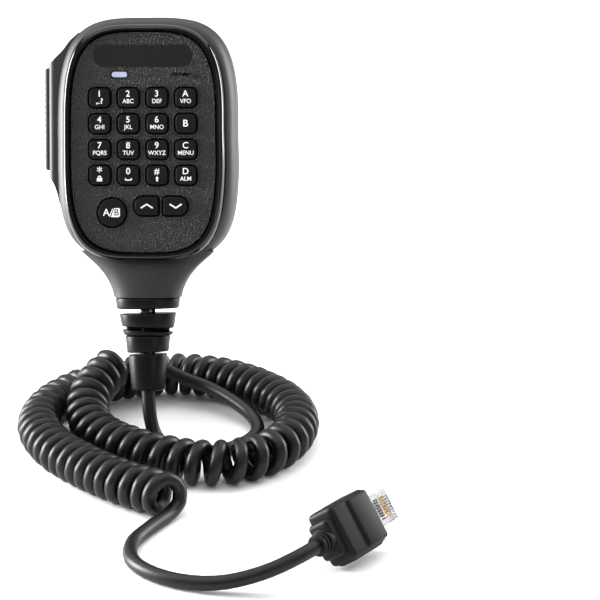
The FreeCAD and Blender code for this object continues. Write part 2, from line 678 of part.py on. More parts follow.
def build_back():
    body = doc.addObject("PartDesign::Body", "back_plate")
    sketch = sketch_on(body, "XZ_Plane", "0")
    half_w = size("plate_width") / 2
    half_h = size("plate_tall") / 2
    arch = size("plate_arch")
    corner = [V(-half_w, half_h, 0), V(-half_w, -half_h, 0), V(half_w, -half_h, 0), V(half_w, half_h, 0)]
    crown = Part.Arc(V(half_w - 2, half_h, 0), V(0, half_h + arch, 0), V(-half_w + 2, half_h, 0))
    sketch.addGeometry([Part.LineSegment(corner[0] - V(0, 2, 0), corner[1] + V(0, 2, 0)),
                        Part.LineSegment(corner[1] + V(0, 2, 0), corner[1] + V(2, 0, 0)),
                        Part.LineSegment(corner[1] + V(2, 0, 0), corner[2] - V(2, 0, 0)),
                        Part.LineSegment(corner[2] - V(2, 0, 0), corner[2] + V(0, 2, 0)),
                        Part.LineSegment(corner[2] + V(0, 2, 0), corner[3] - V(0, 2, 0)),
                        Part.LineSegment(corner[3] - V(0, 2, 0), corner[3] - V(2, 0, 0)),
                        crown,
                        Part.LineSegment(corner[0] + V(2, 0, 0), corner[0] - V(0, 2, 0))])
    for number in range(8):
        sketch.addConstraint(Sketcher.Constraint("Coincident", number, 2, (number + 1) % 8, 1))
    add_pad(body, sketch, "sizes.plate_thick")
    keep(body, "back_plate", LEAN)

    body = block_body("badge", "sizes.badge_size", "sizes.badge_size", "1.7", "0", "sizes.badge_z",
                      "0.25", "1.15")
    keep(body, "badge", LEAN)

    keeper = doc.addObject("Part::Box", "steel_keeper")
    bind(keeper, Length="sizes.keeper_wide", Width="sizes.keeper_thick", Height="sizes.keeper_tall")
    keeper_front = 4.6
    place = FreeCAD.Placement(V(-size("keeper_wide") / 2, -keeper_front, -size("keeper_tall") / 2),
                              FreeCAD.Rotation())
    keep(keeper, "steel_keeper", LEAN.multiply(place))


# ---------------------------------------------------------------- press-to-talk

def build_ptt():
    body = doc.addObject("PartDesign::Body", "ptt_button")
    bar = sketch_on(body, "YZ_Plane", "-sizes.ptt_out")
    draw_round_rect(bar, "sizes.ptt_deep", "sizes.ptt_tall", "1.4", "-sizes.ptt_mid", "sizes.ptt_z")
    bar_pad = add_pad(body, bar, "sizes.ptt_out - sizes.ptt_in")
    soften_end(body, bar_pad, V(-1, 0, 0), 1.1)
    flange = sketch_on(body, "YZ_Plane", "-sizes.ptt_flange_out")
    draw_round_rect(flange, "sizes.ptt_deep + 1.6", "sizes.ptt_tall + 2", "2", "-sizes.ptt_mid",
                    "sizes.ptt_z")
    add_pad(body, flange, "sizes.ptt_flange_out - sizes.ptt_in")
    keep(body, "ptt_button", LEAN)

    seal = doc.addObject("Part::Box", "ptt_seal")
    bind(seal, Length="0.5", Width="10.6", Height="40.4")
    place = FreeCAD.Placement(V(-33.5, -19.4, size("ptt_z") - 20.2), FreeCAD.Rotation())
    keep(seal, "ptt_seal", LEAN.multiply(place))

    switch = box(-32.8, -29.6, 11.6, 16.6, size("ptt_z") - 3, size("ptt_z") + 3)
    nub = Part.makeCylinder(1.2, 0.6, V(-33, -14.1, size("ptt_z")), V(1, 0, 0))
    keep_shape(switch.fuse(nub).removeSplitter(), "ptt_switch", LEAN)
    carrier = doc.addObject("Part::Box", "ptt_board")
    bind(carrier, Length="1", Width="9", Height="20")
    place = FreeCAD.Placement(V(-29.6, -18.3, size("ptt_z") - 10), FreeCAD.Rotation())
    keep(carrier, "ptt_board", LEAN.multiply(place))


# ---------------------------------------------------------------- strain relief and cord

def relief_segment(levels):
    """Oval length round the cord's axis. Levels: height, half width, half depth."""
    return loft([ring_outline(wide, deep, RELIEF_POWER, level, size("neck_depth"))
                 for level, wide, deep in levels])


def build_relief():
    axis_y = -size("neck_depth")
    end = size("relief_end")
    taper = relief_segment([(-53.35, 12.5, 9.3), (-57.7, 12, 9), (-59.5, 11, 8.6), (-65.6, 9.9, 8),
                            (-74.7, 8.1, 7.2), (-82, 6.9, 6.6), (end, 6.4, 6.3)])
    shank_wide = size("shank_wide")
    shank_deep = size("shank_deep")
    shank = relief_segment([(-53.4, shank_wide, shank_deep), (-49.9, shank_wide, shank_deep)])
    flange = relief_segment([(-49.95, shank_wide + 0.5, shank_deep + 0.7),
                             (-48, shank_wide + 0.5, shank_deep + 0.7)])
    body = taper.fuse([shank, flange])
    near = size("slot_depth_left")
    reach = 20
    across = 30
    slots = []
    for number, level in enumerate((-58.7, -65.2, -69.4, -75.2, -81.6)):
        half = 0.7 if number else 1
        low = level - half
        tall = 2 * half
        if number % 2 == 0:
            slots.append(Part.makeBox(reach, across, tall, V(near, axis_y - across / 2, low)))
            slots.append(Part.makeBox(reach, across, tall, V(-near - reach, axis_y - across / 2, low)))
        else:
            slots.append(Part.makeBox(across, reach, tall, V(-across / 2, axis_y + near, low)))
            slots.append(Part.makeBox(across, reach, tall,
                                      V(-across / 2, axis_y - near - reach, low)))
    bore_radius = size("wire") / 2 + 0.05
    bore = Part.makeCylinder(bore_radius, 60, V(0, axis_y, end - 1), V(0, 0, 1))
    keep_shape(body.cut(slots + [bore]), "strain_relief", LEAN)

    tail = doc.addObject("Part::Cylinder", "cable_tail")
    bind(tail, Radius="sizes.wire / 2", Height="-sizes.relief_end - 40")
    place = FreeCAD.Placement(V(0, axis_y, end), FreeCAD.Rotation())
    keep(tail, "cable_tail", LEAN.multiply(place))

    clamp = box(-8, 8, 13.7, 19.6, -46.5, -42.5)
    clamp = clamp.cut(Part.makeCylinder(bore_radius, 10, V(0, axis_y, -50), V(0, 0, 1)))
    keep_shape(clamp, "cord_clamp", LEAN)

    wires = []
    for number in range(4):
        x = -2.1 + 1.4 * number
        start = V(x * 0.6, axis_y, -39.95)
        runs = [start, start + V(0, 0, 5), V(x * 1.6, -19.3, -28), V(x * 1.6, -21.5, -25.2)]
        wires.append(smooth_tube(runs, 0.45)[0])
    keep_shape(Part.makeCompound(wires), "inner_wires", LEAN)


def smooth_tube(points, radius):
    """Round tube along straight runs joined by tangent arcs. Also gives the arcs' radii and the length."""
    edges = []
    radii = []
    length = 0.0
    last = points[0]
    for before, corner, after in zip(points, points[1:], points[2:]):
        back = before - corner
        ahead = after - corner
        turn = math.pi - back.getAngle(ahead)
        reach = 0.45 * min(back.Length, ahead.Length)
        bend = reach / math.tan(turn / 2)
        radii.append(bend)
        back.normalize()
        ahead.normalize()
        arc_start = corner + back * reach
        arc_end = corner + ahead * reach
        inward = (back + ahead).normalize()
        middle = corner + inward * (bend / math.cos(turn / 2) - bend)
        edges.append(Part.LineSegment(last, arc_start).toShape())
        edges.append(Part.Arc(arc_start, middle, arc_end).toShape())
        length += (arc_start - last).Length + bend * turn
        last = arc_end
    edges.append(Part.LineSegment(last, points[-1]).toShape())
    length += (points[-1] - last).Length
    path = Part.Wire(edges)
    direction = (points[1] - points[0]).normalize()
    ring = Part.Wire([Part.Circle(points[0], direction, radius).toShape()])
    tube = path.makePipeShell([ring], True, False)
    return tube, radii, length


def build_cord():
    floor = -size("floor_drop")
    low = floor + size("wire") / 2
    mid = floor + size("coil") / 2
    relief_axis = LEAN.multVec(V(0, -size("neck_depth"), size("relief_end")))
    down = LEAN.Rotation.multVec(V(0, 0, -1))
    top_route = [relief_axis, relief_axis + down * 9, V(3, -48, -99.4), V(12, -54.5, low),
                 V(24, -54.5, low), V(36, -46.5, low), V(42, -33, low + 0.5), V(37.5, -19.5, low + 2),
                 V(29, -9, low + 4),
                 V(18, 1, low + 6), V(8, 3, low + 8.5), V(-1, 5.5, low + 12.5), V(-9, 1.5, low + 16),
                 V(-15, -5, low + 16.8), V(-19, -11.5, low + 16.2)]
    coil_route = [V(-17, -8, mid + 10.5), V(-24.5, -19, mid + 8.5), V(-26.5, -35, mid + 2.8),
                  V(-19.5, -51.5, mid + 0.2), V(-4, -66, mid), V(14, -76.5, mid), V(33, -79.5, mid),
                  V(50, -68.5, mid), V(57.5, -47, mid), V(55.5, -25, mid), V(42.5, -4, mid),
                  V(21, 13.5, mid), V(-4, 16.5, mid), V(-28, 5, mid), V(-41.5, -15, mid),
                  V(-45.5, -40, mid), V(-35, -65, mid), V(-18.5, -84, mid), V(-3, -98, mid),
                  V(8, -105.5, mid), V(13, -113.5, mid)]
    yaw = math.radians(size("plug_yaw"))
    along = V(math.cos(yaw), math.sin(yaw), 0)
    plug_end = V(size("plug_x"), size("plug_y"), floor + size("plug_rise"))
    bottom_route = [V(16.5, -109, low + 1.5), V(16.5, -118, low), V(10.5, -127, low), V(5.5, -140, low),
                    V(8.5, -156, low), V(22, -168.5, low), V(40, -172.5, low + 0.6),
                    V(56, -171.5, low + 4.5), plug_end - along * 10, plug_end]
    runs = [("cord_lead_top", top_route, size("wire")), ("cord_coil", coil_route, size("coil")),
            ("cord_lead_bottom", bottom_route, size("wire"))]
    for label, route, diameter in runs:
        tube, radii, length = smooth_tube(route, diameter / 2)
        volume = math.pi * diameter ** 2 / 4 * length
        print(label, "length %.1f" % length, "volume %.1f of %.1f" % (tube.Volume, volume),
              "radii", [round(value) for value in radii])
        keep_shape(tube, label, FLAT)


# ---------------------------------------------------------------- plug

def plug_placement():
    base = V(size("plug_x"), size("plug_y"), -size("floor_drop") + size("plug_rise"))
    yaw = FreeCAD.Rotation(V(0, 0, 1), size("plug_yaw"))
    roll = FreeCAD.Rotation(V(1, 0, 0), size("plug_roll"))
    return FreeCAD.Placement(base, yaw.multiply(roll))


def long_box(start, length, wide, thick, shift=0.0, lift=0.0):
    """Block along the plug's axis."""
    return Part.makeBox(length, wide, thick, V(start, shift - wide / 2, lift - thick / 2))


def soft_block(start, length, wide, thick):
    """Block along the plug's axis with rounded sides and a rounded rear end."""
    block = long_box(start, length, wide, thick)
    lengthwise = [edge for edge in block.Edges if edge.BoundBox.XLength > length / 2]
    block = block.makeFillet(2.2, lengthwise)
    ends = [edge for edge in block.Edges
            if edge.BoundBox.XLength < 0.01 and edge.BoundBox.XMin < start + 0.1]
    return block.makeFillet(1.2, ends)


def build_plug():
    place = plug_placement()
    collar = size("collar_long")
    long = size("boot_long")
    wide = size("boot_wide")
    thick = size("boot_thick")
    tail_wide = wide - 5.6
    tail_thick = thick - 2.8
    hood = soft_block(collar + size("hood_step"), long - size("hood_step"), wide, thick)
    block = hood.fuse(soft_block(collar, size("hood_step") + 6, tail_wide, tail_thick))
    neck = Part.makeCone(4.2, 5.2, collar + 1, V(0, 0, 0), V(1, 0, 0))
    grooves = []
    for number in range(2):
        ring = Part.makeCylinder(9, 0.6, V(1.2 + 1.5 * number, 0, 0), V(1, 0, 0))
        grooves.append(ring.cut(Part.makeCylinder(3.5, 0.6, V(1.2 + 1.5 * number, 0, 0), V(1, 0, 0))))
    front = collar + long
    tip_w = size("tip_wide")
    tip_t = size("tip_thick")
    mouth = long_box(front - 9, 12, tip_w + 0.3, tip_t + 0.3, 0, -0.5)
    finger = long_box(front - 14, 20, 7.5, 4, 0, 4.9)
    boot = block.fuse(neck).cut(grooves + [mouth, finger])
    keep_shape(boot, "plug_boot", place)

    start = front - 8.5
    length = 8.5 + size("tip_long")
    shell = long_box(start, length, tip_w, tip_t, 0, -0.5)
    contacts = []
    channels = []
    wires = []
    for number in range(8):
        y = (number - 3.5) * 1.02
        contacts.append(Part.makeBox(4.6, 0.36, 2.2, V(start + length - 6.2, y - 0.18, -3.55)))
        channels.append(Part.makeBox(5.6, 0.44, 2.9, V(start + length - 6.4, y - 0.22, -4.2)))
        wires.append(Part.makeCylinder(0.44, length - 8.4, V(start + 0.8, y, 0.6), V(1, 0, 0)))
        channels.append(Part.makeCylinder(0.48, length - 6.3, V(start - 1, y, 0.6), V(1, 0, 0)))
    keep_shape(shell.cut(channels), "plug_body", place)
    keep_shape(Part.makeCompound(contacts), "plug_contacts", place)
    keep_shape(Part.makeCompound(wires), "plug_wires", place)

    rise = tip_t / 2 - 0.5
    arm = [V(start + length - 0.6, -3, rise + 0.1), V(start + length - 0.6, -3, rise + 1.1),
           V(start + 5, -3, rise + 3), V(start + 5, -3, rise + 2.1)]
    latch = Part.Face(Part.makePolygon(arm + arm[:1])).extrude(V(0, 6, 0))
    keep_shape(latch, "plug_latch", place)


build_cases()
build_gasket()
build_bezel()
build_face_panel()
build_face_trim()
build_keys()
build_inside()
build_screws()
build_back()
build_ptt()
build_relief()
build_cord()
build_plug()
doc.recompute()

for item in doc.Objects:
    if "Invalid" in item.State or "Error" in item.State:
        raise SystemExit("%s did not build: %s" % (item.Label, item.State))
for item in parts:
    if item.Shape.isNull() or not item.Shape.isValid():
        raise SystemExit("%s has no valid shape" % item.Label)
os.makedirs("parts", exist_ok=True)
for item in parts:
    item.Shape.exportStep("parts/%s.step" % item.Label)
print(len(parts), "sub-parts written")
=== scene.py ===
# Hand microphone with a curly cord: the looks, on top of the CAD model.
import json
import math

import bmesh
import bpy
from mathutils import Matrix, Vector

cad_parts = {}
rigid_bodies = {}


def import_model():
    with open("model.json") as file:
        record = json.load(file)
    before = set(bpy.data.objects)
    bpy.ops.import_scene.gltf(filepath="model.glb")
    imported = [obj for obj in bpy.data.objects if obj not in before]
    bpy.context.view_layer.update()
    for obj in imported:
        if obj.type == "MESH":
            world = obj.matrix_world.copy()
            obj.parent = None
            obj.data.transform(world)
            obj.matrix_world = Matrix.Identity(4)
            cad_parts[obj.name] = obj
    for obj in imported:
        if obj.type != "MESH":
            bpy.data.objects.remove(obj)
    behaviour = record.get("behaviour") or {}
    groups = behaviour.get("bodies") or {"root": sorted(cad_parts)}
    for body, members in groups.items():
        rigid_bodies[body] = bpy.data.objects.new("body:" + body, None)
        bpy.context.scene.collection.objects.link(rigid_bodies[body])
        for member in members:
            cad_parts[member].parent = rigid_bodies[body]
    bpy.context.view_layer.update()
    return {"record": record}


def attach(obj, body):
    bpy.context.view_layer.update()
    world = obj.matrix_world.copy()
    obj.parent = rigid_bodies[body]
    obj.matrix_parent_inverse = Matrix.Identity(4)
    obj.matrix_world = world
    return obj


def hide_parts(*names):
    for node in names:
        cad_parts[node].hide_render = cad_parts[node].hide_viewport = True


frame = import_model()

MM = 0.001
LEAN = Matrix.Rotation(math.radians(-16), 4, "X")  # the handset leans back
CORD_FRONT = 19  # how far the neck, the relief and the cord's exit stand in front of the back face
FLOOR_MM = -104.4
FLOOR = FLOOR_MM * MM


def at(x, front, z):
    """Point in millimetres on the upright handset, as a point in metres in the model's frame."""
    return LEAN @ Vector((x * MM, -front * MM, z * MM))


def add(obj, body, slot, *materials):
    """Link a finished piece, give it its materials, and let it ride on a body."""
    bpy.context.scene.collection.objects.link(obj)
    for item in materials:
        obj.data.materials.append(item)
    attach(obj, body)
    return obj


# ---------------------------------------------------------------- camera

toward = Vector((0.0825, -0.9430, 0.3223)).normalized()
target = Vector((0.0596, -0.0447, -0.0430))
DISTANCE = 0.95
upright = LEAN @ Vector((0, 0, 1))
right = upright.cross(toward).normalized()
above = toward.cross(right)
camera_data = bpy.data.cameras.new("camera")
camera_data.lens = 151.05
camera_data.sensor_width = 36
camera = bpy.data.objects.new("camera", camera_data)
bpy.context.scene.collection.objects.link(camera)
turn = Matrix((right, above, toward)).transposed().to_4x4()
camera.matrix_world = Matrix.Translation(target + toward * DISTANCE) @ turn
bpy.context.scene.camera = camera

# ---------------------------------------------------------------- materials

UNEVEN = 0.07  # how far a surface's roughness strays either way

def material(name, colour, rough, metallic=0.0, vary=0.12, patches=60.0, grain=2500.0, bump=0.1,
             height=0.00002, specular=0.4, cells=0.0):
    """Plain surface with large faint patches, fine grain and uneven roughness.

    vary is how far the colour strays, patches, grain and cells are scales per metre, and bump and
    height are the strength and the depth of the grain. A surface with cells has pebbles as well.
    """
    mat = bpy.data.materials.new(name)
    mat.use_nodes = True
    nodes = mat.node_tree.nodes
    links = mat.node_tree.links
    shader = nodes["Principled BSDF"]
    shader.inputs["Metallic"].default_value = metallic
    shader.inputs["Specular IOR Level"].default_value = specular
    where = nodes.new("ShaderNodeTexCoord")
    large = nodes.new("ShaderNodeTexNoise")
    large.inputs["Scale"].default_value = patches
    large.inputs["Detail"].default_value = 4
    links.new(where.outputs["Object"], large.inputs["Vector"])
    tint = nodes.new("ShaderNodeMix")
    tint.data_type = "RGBA"
    tint.inputs["A"].default_value = [c * (1 - vary) for c in colour] + [1]
    tint.inputs["B"].default_value = [c * (1 + vary) for c in colour] + [1]
    links.new(large.outputs["Fac"], tint.inputs["Factor"])
    links.new(tint.outputs["Result"], shader.inputs["Base Color"])
    fine = nodes.new("ShaderNodeTexNoise")
    fine.inputs["Scale"].default_value = grain
    fine.inputs["Detail"].default_value = 3
    links.new(where.outputs["Object"], fine.inputs["Vector"])
    spread = nodes.new("ShaderNodeMapRange")
    spread.inputs["To Min"].default_value = rough - UNEVEN
    spread.inputs["To Max"].default_value = rough + UNEVEN
    links.new(fine.outputs["Fac"], spread.inputs["Value"])
    links.new(spread.outputs["Result"], shader.inputs["Roughness"])
    relief = nodes.new("ShaderNodeBump")
    relief.inputs["Strength"].default_value = bump
    relief.inputs["Distance"].default_value = height
    if cells:
        cell = nodes.new("ShaderNodeTexVoronoi")
        cell.feature = "SMOOTH_F1"
        cell.inputs["Scale"].default_value = cells
        cell.inputs["Smoothness"].default_value = 0.6
        links.new(where.outputs["Object"], cell.inputs["Vector"])
        both = nodes.new("ShaderNodeMath")
        both.operation = "ADD"
        links.new(cell.outputs["Distance"], both.inputs[0])
        links.new(fine.outputs["Fac"], both.inputs[1])
        links.new(both.outputs["Value"], relief.inputs["Height"])
    else:
        links.new(fine.outputs["Fac"], relief.inputs["Height"])
    links.new(relief.outputs["Normal"], shader.inputs["Normal"])
    return mat


def clear(name, colour, rough):
    """Tinted see-through plastic."""
    mat = material(name, colour, rough, vary=0.02, bump=0.05, grain=900, height=0.00003)
    shader = mat.node_tree.nodes["Principled BSDF"]
    shader.inputs["Transmission Weight"].default_value = 1
    shader.inputs["IOR"].default_value = 1.3
    shader.inputs["Specular IOR Level"].default_value = 0.2
    return mat


def striped(mat, origin, across, colours, pitch):
    """Bands of colour side by side along across, half of them on each side of the origin."""
    nodes = mat.node_tree.nodes
    links = mat.node_tree.links
    where = nodes.new("ShaderNodeTexCoord")
    shifted = nodes.new("ShaderNodeVectorMath")
    shifted.operation = "SUBTRACT"
    shifted.inputs[1].default_value = origin
    links.new(where.outputs["Object"], shifted.inputs[0])
    along = nodes.new("ShaderNodeVectorMath")
    along.operation = "DOT_PRODUCT"
    along.inputs[1].default_value = across
    links.new(shifted.outputs["Vector"], along.inputs[0])
    place = nodes.new("ShaderNodeMapRange")
    half = pitch * len(colours) / 2
    place.inputs["From Min"].default_value = -half
    place.inputs["From Max"].default_value = half
    links.new(along.outputs["Value"], place.inputs["Value"])
    bands = nodes.new("ShaderNodeValToRGB")
    bands.color_ramp.interpolation = "CONSTANT"
    for number, colour in enumerate(colours):
        if number < 2:
            stop = bands.color_ramp.elements[number]
            stop.position = number / len(colours)
        else:
            stop = bands.color_ramp.elements.new(number / len(colours))
        stop.color = (*colour, 1)
    links.new(place.outputs["Result"], bands.inputs["Fac"])
    links.new(bands.outputs["Color"], nodes["Principled BSDF"].inputs["Base Color"])


CASE = material("case_plastic", (0.0125, 0.0125, 0.0128), 0.5, grain=3500, bump=0.3,
                specular=0.42)
BEZEL = material("bezel_gloss", (0.0015, 0.0015, 0.0016), 0.09, grain=500, bump=0.01,
                 height=0.00001)
PANEL = material("panel_plastic", (0.002, 0.002, 0.0022), 0.3, grain=1900, bump=1.0, height=0.0004,
                 cells=1350)
NAME = material("name_gloss", (0.003, 0.003, 0.0032), 0.3, grain=600, bump=0.03)
LENS = material("lens", (0.42, 0.44, 0.58), 0.25, vary=0.05, bump=0.05)
KEY = material("key_plastic", (0.0025, 0.0025, 0.0026), 0.5, grain=4000, bump=0.15, specular=0.17)
PRINT = material("key_print", (0.86, 0.87, 0.88), 0.55, vary=0.04, grain=5000, bump=0.08)
FADED = material("faded_print", (0.0015, 0.0015, 0.0015), 0.6, vary=0.08)
PTT = material("ptt_rubber", (0.010, 0.010, 0.0105), 0.6, grain=4000, bump=0.3)
PLATE = material("plate_plastic", (0.010, 0.010, 0.0105), 0.5, grain=3500, bump=0.3)
BADGE = material("badge_orange", (0.85, 0.20, 0.02), 0.4, vary=0.06)
STEEL = material("steel", (0.5, 0.5, 0.5), 0.3, metallic=1, grain=1800)
SCREW = material("screw_steel", (0.38, 0.38, 0.39), 0.32, metallic=1, grain=2600)
MOULDED = material("frame_plastic", (0.05, 0.05, 0.05), 0.55)
SEAL = material("seal_rubber", (0.004, 0.004, 0.004), 0.7)
BOARD = material("board", (0.01, 0.09, 0.04), 0.4)
CHIP = material("chip", (0.012, 0.012, 0.012), 0.45)
RELIEF = material("relief_rubber", (0.0016, 0.0016, 0.0017), 0.36, grain=2600, bump=0.2,
                  specular=0.16)
CORD = material("cord_jacket", (0.0028, 0.0028, 0.0029), 0.41, grain=2200, bump=0.2, specular=0.27)
BOOT = material("boot_rubber", (0.0045, 0.0045, 0.0047), 0.5, grain=2600, bump=0.3, specular=0.16)
CLEAR = clear("clear_plastic", (0.44, 0.45, 0.47), 0.16)
GOLD = material("gold", (0.45, 0.27, 0.05), 0.5, metallic=1)
WIRE = material("wire_colour", (0.5, 0.08, 0.04), 0.4)

# What each material slot of the CAD model is made of.
FINISHES = {"case_plastic": CASE, "bezel_gloss": BEZEL, "panel_plastic": PANEL, "name_gloss": NAME,
            "lens": LENS, "key_plastic": KEY, "ptt_rubber": PTT, "plate_plastic": PLATE,
            "badge_orange": BADGE, "steel": STEEL, "screw_steel": SCREW, "frame_plastic": MOULDED,
            "seal_rubber": SEAL, "board": BOARD, "chip": CHIP, "relief_rubber": RELIEF,
            "cord_jacket": CORD, "boot_rubber": BOOT, "clear_plastic": CLEAR, "gold": GOLD,
            "wire_colour": WIRE}
for part in frame["record"]["subparts"]:
    node = bpy.data.objects[part["node"]]
    finish = FINISHES[part["material_slot"]]
    if node.material_slots:
        for place in node.material_slots:
            place.material = finish
    else:
        node.data.materials.append(finish)

# ---------------------------------------------------------------- cord

WIRE_MM = 2.65
WIRE_RADIUS = WIRE_MM * MM
COIL_RADIUS = 6.1 * MM  # of the helix that the wire's middle follows
LOW = (FLOOR_MM + WIRE_MM) * MM  # middle of a plain lead that lies on the floor
MID = (FLOOR_MM + 8.75) * MM  # middle of the curly part that lies on the floor


def mm_points(rows):
    """Points whose x and y are in millimetres and whose z is in metres already."""
    return [Vector((x * MM, y * MM, z)) for x, y, z in rows]


relief_tip = at(0, CORD_FRONT, -89)
TOP_ROUTE = [relief_tip, at(0, CORD_FRONT, -98)] + mm_points([
    (3, -48, -99.4 * MM), (12, -54.5, LOW), (24, -54.5, LOW), (36, -46.5, LOW),
    (42, -33, LOW + 0.5 * MM), (37.5, -19.5, LOW + 2 * MM), (29, -9, LOW + 4 * MM),
    (18, 1, LOW + 6 * MM), (8, 3, LOW + 8.5 * MM), (-1, 5.5, LOW + 12.5 * MM),
    (-9, 3.5, LOW + 14 * MM), (-17.2, 1.5, LOW + 14 * MM)])
COIL_ROUTE = mm_points([
    (-18.6, -7.6, MID + 12 * MM), (-25, -19, MID + 8.8 * MM), (-26.5, -35, MID + 2.8 * MM),
    (-19.5, -51.5, MID + 0.2 * MM), (-4, -66, MID), (14, -76.5, MID), (33, -79.5, MID),
    (50, -68.5, MID), (57.5, -47, MID), (55.5, -25, MID), (42.5, -4, MID), (21, 13.5, MID),
    (-4, 16.5, MID), (-28, 5, MID), (-41.5, -15, MID), (-45.5, -40, MID), (-35, -65, MID),
    (-18.5, -84, MID), (-3, -98, MID), (6.5, -104, MID), (12.5, -107.2, MID), (16.3, -111.2, MID)])
# The plug points along its own x axis; its base is where the cord enters the boot.
PLUG_TURN = Matrix.Rotation(math.radians(59), 4, "Z") @ Matrix.Rotation(math.radians(237), 4, "X")
PLUG_BASE = Vector((73.3 * MM, -159.2 * MM, (FLOOR_MM + 11.9) * MM))
plug_along = PLUG_TURN @ Vector((1, 0, 0))
BOTTOM_ROUTE = mm_points([
    (16.8, -111.6, LOW), (13.8, -118, LOW), (10, -126, LOW), (5.5, -139, LOW), (8.5, -155, LOW),
    (22, -167.5, LOW), (40, -172.5, LOW + 0.6 * MM), (56, -171.5, LOW + 4.5 * MM)])
BOTTOM_ROUTE += [PLUG_BASE - plug_along * 10 * MM, PLUG_BASE]


def spline_curve(name, points, steps):
    """One smooth open spline with these points as its control points."""
    data = bpy.data.curves.new(name, "CURVE")
    data.dimensions = "3D"
    data.resolution_u = steps
    spline = data.splines.new("NURBS")
    spline.points.add(len(points) - 1)
    for place, point in zip(spline.points, points):
        place.co = (*point, 1)
    spline.order_u = 3
    spline.use_endpoint_u = True
    return data


def line_along(points):
    """Closely spaced points on the spline that the given control points make."""
    data = spline_curve("guide", points, 24)
    obj = bpy.data.objects.new("guide", data)
    mesh = bpy.data.meshes.new_from_object(obj)
    line = [vertex.co.copy() for vertex in mesh.vertices]
    bpy.data.meshes.remove(mesh)
    bpy.data.objects.remove(obj)
    bpy.data.curves.remove(data)
    return line


def evenly(line, step):
    """The same line with points one step apart."""
    result = [line[0].copy()]
    left = step
    for first, second in zip(line, line[1:]):
        run = (second - first).length
        done = 0.0
        while run - done >= left:
            done += left
            result.append(first.lerp(second, done / run))
            left = step
        left -= run - done
    return result


COIL_STEP = 0.25 * MM  # how closely the coil's route is followed
BEND_REACH = 12  # steps either way over which the route's bend is measured
CLOSEST = 0.5  # a bend never opens the turns to more than 1 / CLOSEST of their pitch


def helix(route, first_turn, last_turn, per_turn):
    """Control points of the curly part: turns round the route, touching inside its bends.

    All the turns are opened or closed alike, by less than one turn in all, so that the last of them
    ends at the angle last_turn.
    """
    step = COIL_STEP
    line = evenly(line_along(route), step)
    total = step * (len(line) - 1)
    turning = []
    for number in range(len(line) - 1):
        ahead = min(number + BEND_REACH, len(line) - 2)
        behind = max(number - BEND_REACH, 0)
        bend = (line[ahead + 1] - line[ahead]).angle(line[behind + 1] - line[behind])
        curvature = bend / (step * (ahead - behind))
        pitch = coil_pitch(step * number / total) / max(CLOSEST, 1 - COIL_RADIUS * curvature)
        turning.append(2 * math.pi * step / pitch)
    over = (sum(turning) - last_turn + first_turn) / (2 * math.pi)
    wanted = last_turn - first_turn + 2 * math.pi * round(over)
    evened = wanted / sum(turning)
    side = (line[1] - line[0]).cross(Vector((0, 0, 1))).normalized()
    phase = first_turn
    next_phase = phase
    points = []
    for number, turned in enumerate(turning):
        heading = (line[number + 1] - line[number]).normalized()
        side = (side - heading * side.dot(heading)).normalized()
        up = side.cross(heading)
        radius = COIL_RADIUS * coil_swell(step * number)
        while phase >= next_phase:
            points.append(line[number] + side * math.cos(phase) * radius
                          + up * math.sin(phase) * radius)
            next_phase += 2 * math.pi / per_turn
        phase += turned * evened
    return points


# Where along the coil its turns stand open: the middle of the place and its reach, as parts of the
# coil's length, and the extra pitch.
OPENINGS = [(0.19, 0.035, 1.0), (0.28, 0.05, 0.35)]
COIL_PITCH = 5.4
FIRST_TURN = math.radians(-30)
LAST_TURN = math.radians(268.7)
TURN_POINTS = 16


def coil_pitch(part):
    """Distance from turn to turn along the coil, at a part of its length."""
    extra = sum(more * math.exp(-((part - middle) / reach) ** 2)
                for middle, reach, more in OPENINGS)
    return (COIL_PITCH + extra) * MM


def coil_swell(travelled):
    """Turns grow to their full size over the first few millimetres."""
    return min(1.0, 0.9 + travelled / (60 * MM))


COIL_POINTS = helix(COIL_ROUTE, FIRST_TURN, LAST_TURN, TURN_POINTS)
cord_data = spline_curve("cord", TOP_ROUTE + COIL_POINTS + BOTTOM_ROUTE, 4)
cord_data.bevel_depth = WIRE_RADIUS
cord_data.bevel_resolution = 4
cord_data.use_fill_caps = True
cord = add(bpy.data.objects.new("cord", cord_data), "handset", "cord_jacket", CORD)
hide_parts("cord_lead_top", "cord_coil", "cord_lead_bottom")

# ---------------------------------------------------------------- legends on the keys

KEY_FACE = 31.9
LEGEND_FACE = KEY_FACE + 0.02
INK = KEY_FACE + 0.03
COLUMN_PITCH = 10.93
ROW_PITCH = 9.75
TOP_ROW = 22.6
CAPITAL = 0.7  # height of a capital as a part of the font's size

# Keypad: column, row, and what stands in the upper and the lower half of the key.
LEGENDS = {
    "key_1": (0, 0, "1", ",.?"), "key_2": (1, 0, "2", "ABC"), "key_3": (2, 0, "3", "DEF"),
    "key_a": (3, 0, "A", "VFO"), "key_4": (0, 1, "4", "GHI"), "key_5": (1, 1, "5", "JKL"),
    "key_6": (2, 1, "6", "MNO"), "key_b": (3, 1, "B", ""), "key_7": (0, 2, "7", "PQRS"),
    "key_8": (1, 2, "8", "TUV"), "key_9": (2, 2, "9", "WXYZ"), "key_c": (3, 2, "C", "MENU"),
    "key_star": (0, 3, "*", ""), "key_0": (1, 3, "0", ""), "key_hash": (2, 3, "#", ""),
    "key_d": (3, 3, "D", "ALM")}


